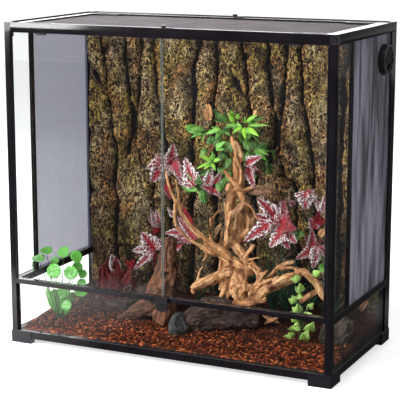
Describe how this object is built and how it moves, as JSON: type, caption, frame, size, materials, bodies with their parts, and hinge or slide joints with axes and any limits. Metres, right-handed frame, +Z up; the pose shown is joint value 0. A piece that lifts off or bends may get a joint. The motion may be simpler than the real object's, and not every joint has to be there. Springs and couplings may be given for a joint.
{
  "type": "reptile terrarium",
  "caption": "Tall glass and mesh reptile terrarium with hinged front doors, lift-off mesh lid, cable inlets and port, planted with a root and bark background.",
  "frame": {"origin": "middle of the footprint, on the floor under the feet", "axes": "+X to the right as seen from the doors, +Y to the back, +Z up"},
  "size_m": [0.9253, 0.464, 0.8623],
  "materials": {
    "black_profile": "gloss black coated aluminium profile",
    "corner_plastic": "moulded, gloss black",
    "fitting_plastic": "moulded, semi-gloss black",
    "glass": "clear float glass with a faint green edge",
    "side_mesh": "fine woven mesh, dark grey",
    "lid_mesh": "fine woven mesh, light grey",
    "stop_rubber": "black pads",
    "lock_metal": "black key cylinder",
    "bolt_steel": "plain steel",
    "bark_panel": "rough olive-brown bark relief",
    "bark_chips": "loose red-brown bark chips",
    "driftwood": "weathered orange-tan root",
    "dark_wood": "dark rough bark",
    "leaf_green": "fresh green leaves",
    "leaf_pale": "pale green leaves",
    "leaf_red": "red and cream leaves",
    "leaf_maroon": "dark maroon leaves"
  },
  "bodies": {
    "enclosure": {"foot_front_left": "corner_plastic", "foot_front_right": "corner_plastic", "foot_back_left": "corner_plastic", "foot_back_right": "corner_plastic", "bottom_rail_front": "black_profile", "bottom_rail_back": "black_profile", "bottom_rail_left": "black_profile", "bottom_rail_right": "black_profile", "post_front_left": "black_profile", "post_front_right": "black_profile", "post_back_left": "black_profile", "post_back_right": "black_profile", "top_corners": "corner_plastic", "top_rail_front": "black_profile", "top_rail_back": "black_profile", "top_rail_left": "black_profile", "top_rail_right": "black_profile", "mid_rail_front": "black_profile", "mid_rail_left": "black_profile", "mid_rail_right": "black_profile", "divider_left": "black_profile", "divider_right": "black_profile", "floor_pane": "glass", "back_pane": "glass", "front_lower_pane": "glass", "left_lower_pane": "glass", "right_lower_pane": "glass", "left_strip_pane": "glass", "right_strip_pane": "glass", "left_screen": "side_mesh", "right_screen": "side_mesh", "door_stops": "stop_rubber", "lock_housing": "fitting_plastic", "port_ring": "fitting_plastic", "port_nut": "fitting_plastic", "background_panel": "bark_panel", "substrate": "bark_chips", "driftwood": "driftwood", "logs": "dark_wood", "round_leaf_plant": "leaf_green", "variegated_plant": "leaf_red", "green_leaf_plant": "leaf_green", "trailing_vine": "leaf_pale", "maroon_plant": "leaf_maroon"},
    "door_left": {"door_left_glass": "glass", "door_left_hinge": "black_profile"},
    "door_right": {"door_right_glass": "glass", "door_right_hinge": "black_profile"},
    "key_cylinder": {"lock_cylinder": "lock_metal"},
    "bolt": {"lock_bolt": "bolt_steel"},
    "lid": {"lid_frame": "black_profile", "lid_screen": "lid_mesh", "inlet_housings": "fitting_plastic"},
    "shutter_front_left": {"inlet_shutter_front_left": "fitting_plastic"},
    "shutter_front_right": {"inlet_shutter_front_right": "fitting_plastic"},
    "shutter_back_left": {"inlet_shutter_back_left": "fitting_plastic"},
    "shutter_back_right": {"inlet_shutter_back_right": "fitting_plastic"},
    "latch_front": {"lid_latch_front": "fitting_plastic"},
    "latch_back": {"lid_latch_back": "fitting_plastic"},
    "rotating_cap": {"port_cap": "fitting_plastic"}
  },
  "joints": [
    {"name": "door_left_swing", "type": "hinge", "parent": "enclosure", "child": "door_left", "pos_m": [-0.4344, -0.2235, 0.5], "axis": [0, 0, -1], "range_deg": [0, 110]},
    {"name": "door_right_swing", "type": "hinge", "parent": "enclosure", "child": "door_right", "pos_m": [0.4344, -0.2235, 0.5], "axis": [0, 0, 1], "range_deg": [0, 110]},
    {"name": "key_turn", "type": "hinge", "parent": "enclosure", "child": "key_cylinder", "pos_m": [0, -0.2345, 0.156], "axis": [0, 1, 0], "range_deg": [0, 90]},
    {"name": "bolt_rise", "type": "slide", "parent": "enclosure", "child": "bolt", "axis": [0, 0, 1], "range_m": [0, 0.0055]},
    {"name": "lid_lift", "type": "slide", "parent": "enclosure", "child": "lid", "axis": [0, 0, 1], "range_m": [0, 0.08]},
    {"name": "shutter_front_left_slide", "type": "slide", "parent": "lid", "child": "shutter_front_left", "axis": [1, 0, 0], "range_m": [0, 0.034]},
    {"name": "shutter_back_left_slide", "type": "slide", "parent": "lid", "child": "shutter_back_left", "axis": [1, 0, 0], "range_m": [0, 0.034]},
    {"name": "shutter_front_right_slide", "type": "slide", "parent": "lid", "child": "shutter_front_right", "axis": [-1, 0, 0], "range_m": [0, 0.034]},
    {"name": "shutter_back_right_slide", "type": "slide", "parent": "lid", "child": "shutter_back_right", "axis": [-1, 0, 0], "range_m": [0, 0.034]},
    {"name": "latch_front_turn", "type": "hinge", "parent": "enclosure", "child": "latch_front", "pos_m": [0, -0.21625, 0.855], "axis": [0, 0, 1], "range_deg": [0, 90]},
    {"name": "latch_back_turn", "type": "hinge", "parent": "enclosure", "child": "latch_back", "pos_m": [0, 0.21625, 0.855], "axis": [0, 0, -1], "range_deg": [0, 90]},
    {"name": "cap_turn", "type": "hinge", "parent": "enclosure", "child": "rotating_cap", "pos_m": [0.459, 0.1275, 0.767], "axis": [1, 0, 0], "continuous": true}
  ],
  "couplings": [
    {"joint": "key_turn", "follows": "bolt_rise", "rad_per_m": 285.5}
  ]
}
